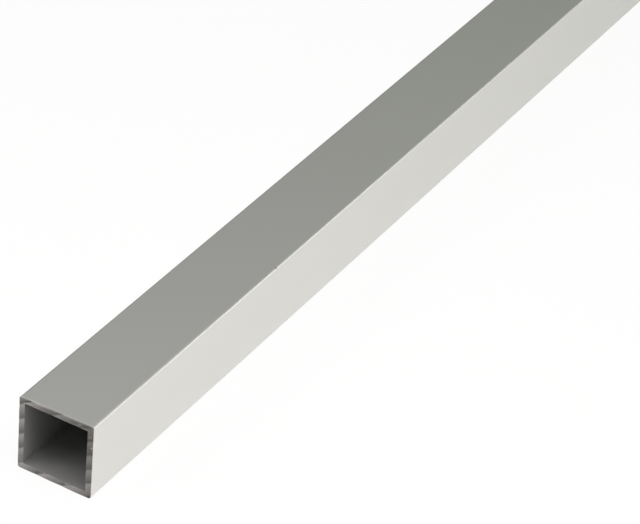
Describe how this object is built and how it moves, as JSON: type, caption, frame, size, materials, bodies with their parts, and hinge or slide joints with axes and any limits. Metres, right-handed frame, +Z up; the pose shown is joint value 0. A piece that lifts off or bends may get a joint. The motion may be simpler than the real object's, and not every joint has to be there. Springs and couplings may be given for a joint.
{
  "type": "square tube",
  "caption": "Straight hollow square-section aluminium tube with thin walls, small corner radii and sawn open ends.",
  "frame": {"origin": "middle of the bottom face, halfway between the two sawn ends", "axes": "+Y along the tube from the front end to the back end, +Z up out of the top face, +X to the right side"},
  "size_m": [0.02, 1, 0.02],
  "materials": {
    "anodised_aluminium": "satin silver anodised skin with faint lines along the extrusion, and raw sawn ends"
  },
  "bodies": {
    "root": {"square_tube": "anodised_aluminium"}
  },
  "joints": []
}
